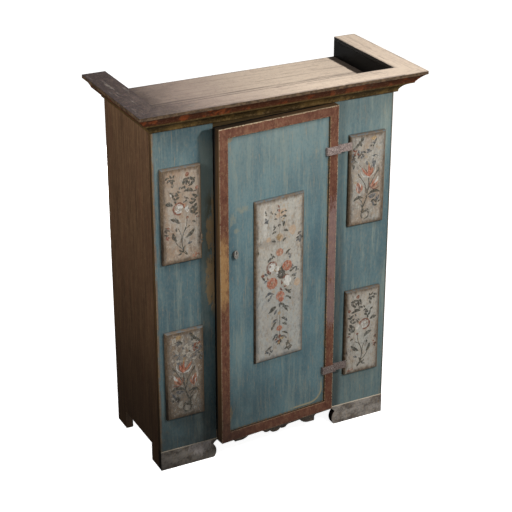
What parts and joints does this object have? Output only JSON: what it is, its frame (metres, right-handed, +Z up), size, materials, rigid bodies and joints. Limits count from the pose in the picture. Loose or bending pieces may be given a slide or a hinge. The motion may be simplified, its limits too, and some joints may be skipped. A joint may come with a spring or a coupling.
{
  "type": "kas cupboard",
  "caption": "Painted one-door wardrobe cupboard with a lift-off moulded crown, planted panels, iron strap hinges, a turn latch, a hat shelf and scalloped feet",
  "frame": {"origin": "on the floor under the middle of the outline seen from above, which is the crown's", "axes": "+X to the right along the front, +Y from the front to the back, +Z up"},
  "size_m": [1.4, 0.655, 1.8],
  "materials": {
    "blue_paint": "worn matt paint",
    "border_paint": "worn matt paint",
    "panel_paint": "worn matt paint",
    "cap_wood": "worn matt",
    "crown_paint": "worn matt paint",
    "side_wood": "dark stained",
    "plinth_paint": "worn matt paint",
    "top_wood": "bare, aged",
    "raw_wood": "bare, aged",
    "iron": "forged, rusted"
  },
  "bodies": {
    "carcass": {"back_board_1": "raw_wood", "back_board_2": "raw_wood", "back_board_3": "raw_wood", "back_board_4": "raw_wood", "back_board_5": "raw_wood", "bottom_board_1": "raw_wood", "bottom_board_2": "raw_wood", "bottom_board_3": "raw_wood", "bottom_cleats": "raw_wood", "bottom_rail": "raw_wood", "coat_pegs": "raw_wood", "corner_blocks": "raw_wood", "hat_shelf": "raw_wood", "hinge_bar_lower": "iron", "hinge_bar_upper": "iron", "hinge_pin_lower": "iron", "hinge_pin_upper": "iron", "panel_lower_left": "panel_paint", "panel_lower_right": "panel_paint", "panel_upper_left": "panel_paint", "panel_upper_right": "panel_paint", "peg_rail": "raw_wood", "plinth_board": "plinth_paint", "shelf_cleats": "raw_wood", "side_left": "side_wood", "side_right": "side_wood", "stile_left": "blue_paint", "stile_right": "blue_paint", "top_board_1": "top_wood", "top_board_2": "top_wood", "top_rail": "raw_wood"},
    "crown": {"crown_blocks": "raw_wood", "crown_cap_front": "cap_wood", "crown_cap_left": "cap_wood", "crown_cap_right": "cap_wood", "crown_moulding_front": "crown_paint", "crown_moulding_left": "crown_paint", "crown_moulding_right": "crown_paint"},
    "door": {"border_bottom": "border_paint", "border_left": "border_paint", "border_right": "border_paint", "border_top": "border_paint", "door_board_1": "blue_paint", "door_board_2": "blue_paint", "door_board_3": "blue_paint", "door_ledge_bottom": "raw_wood", "door_ledge_middle": "raw_wood", "door_ledge_top": "raw_wood", "door_panel": "panel_paint", "hinge_strap_lower": "iron", "hinge_strap_upper": "iron", "latch_rose": "iron", "strap_nails": "iron"},
    "latch": {"latch_knob": "iron", "latch_spindle": "iron", "latch_tongue": "iron"}
  },
  "joints": [
    {"name": "door_hinge", "type": "hinge", "parent": "carcass", "child": "door", "pos_m": [0.29445, -0.25, 0.91], "axis": [0, 0, 1], "range_deg": [-4.7, 135.3]},
    {"name": "latch_turn", "type": "hinge", "parent": "door", "child": "latch", "pos_m": [-0.25186, -0.28639, 1.082], "axis": [-0.0819, 0.9966, 0], "range_deg": [0, 90]},
    {"name": "crown_lift", "type": "slide", "parent": "carcass", "child": "crown", "axis": [0, 0, 1], "range_m": [0, 0.12]}
  ]
}
